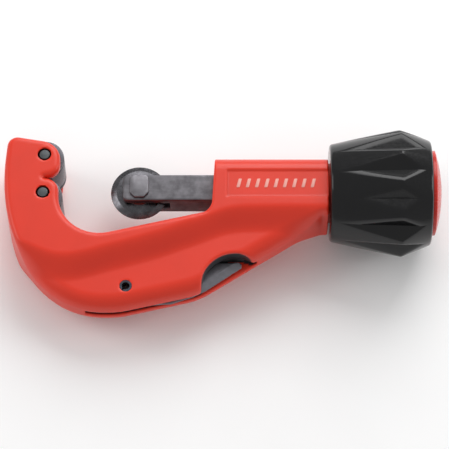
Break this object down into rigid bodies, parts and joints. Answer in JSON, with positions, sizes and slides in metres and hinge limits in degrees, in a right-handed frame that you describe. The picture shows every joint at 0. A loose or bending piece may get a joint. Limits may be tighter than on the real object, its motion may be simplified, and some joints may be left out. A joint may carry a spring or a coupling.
{
  "type": "pipe cutter",
  "caption": "Constant-swing pipe cutter: C-frame with two rollers, screw-fed cutter wheel on a square slide, fluted handwheel and folding reamer.",
  "frame": {"origin": "on the feed axis, in the middle plane of the frame, level with the two rollers", "axes": "+X along the feed axis towards the handwheel, +Y out of the open mouth of the C-frame, +Z through the thickness, up when the tool lies on its side"},
  "size_m": [0.1471, 0.0655, 0.0424],
  "materials": {
    "red_enamel": "satin powder coat on die-cast alloy",
    "black_plastic": "glossy moulded",
    "red_plastic": "glossy moulded",
    "ground_steel": "ground",
    "pin_steel": "plain",
    "black_oxide_steel": "black oxide",
    "tool_steel": "hardened, polished bevels",
    "zinc_steel": "zinc plated",
    "spring_steel": "blued",
    "blade_steel": "ground",
    "bronze": "sintered"
  },
  "bodies": {
    "frame": {"frame": "red_enamel", "roller_pin_upper": "pin_steel", "roller_pin_lower": "pin_steel", "bearing_bush": "bronze", "retaining_ring": "spring_steel", "thrust_washer_front": "zinc_steel", "thrust_washer_rear": "zinc_steel", "reamer_pin": "zinc_steel", "reamer_spring": "spring_steel"},
    "roller_upper": {"roller_upper": "ground_steel"},
    "roller_lower": {"roller_lower": "ground_steel"},
    "slide": {"feed_slide": "black_oxide_steel", "wheel_axle": "black_oxide_steel", "axle_clip": "spring_steel"},
    "wheel": {"cutter_wheel": "tool_steel"},
    "handwheel": {"knob": "black_plastic", "knob_insert": "zinc_steel", "feed_screw": "zinc_steel", "friction_washer": "spring_steel", "knob_washer": "zinc_steel", "knob_nut": "zinc_steel"},
    "cap": {"knob_cap": "red_plastic", "spare_wheel": "tool_steel", "spare_wheel_screw": "zinc_steel"},
    "reamer": {"reamer_blade": "blade_steel"}
  },
  "joints": [
    {"name": "knob_turn", "type": "hinge", "parent": "frame", "child": "handwheel", "pos_m": [0.105, 0, 0], "axis": [1, 0, 0], "range_deg": [-2916, 2592]},
    {"name": "slide_feed", "type": "slide", "parent": "frame", "child": "slide", "axis": [1, 0, 0], "range_m": [-0.0162, 0.0144]},
    {"name": "cutter_wheel_spin", "type": "hinge", "parent": "slide", "child": "wheel", "pos_m": [0.0319, 0, 0], "axis": [0, 0, 1], "continuous": true},
    {"name": "roller_upper_spin", "type": "hinge", "parent": "frame", "child": "roller_upper", "pos_m": [0.00015, 0.0093, 0], "axis": [0, 0, 1], "continuous": true},
    {"name": "roller_lower_spin", "type": "hinge", "parent": "frame", "child": "roller_lower", "pos_m": [-0.00015, -0.00455, 0], "axis": [0, 0, 1], "continuous": true},
    {"name": "cap_pull", "type": "slide", "parent": "handwheel", "child": "cap", "axis": [1, 0, 0], "range_m": [0, 0.02]},
    {"name": "reamer_swing", "type": "hinge", "parent": "frame", "child": "reamer", "pos_m": [0.0279, -0.03675, 0], "axis": [0, 0, 1], "range_deg": [-130, 0]}
  ],
  "couplings": [
    {"joint": "slide_feed", "follows": "knob_turn", "m_per_rad": 0.00031831}
  ]
}
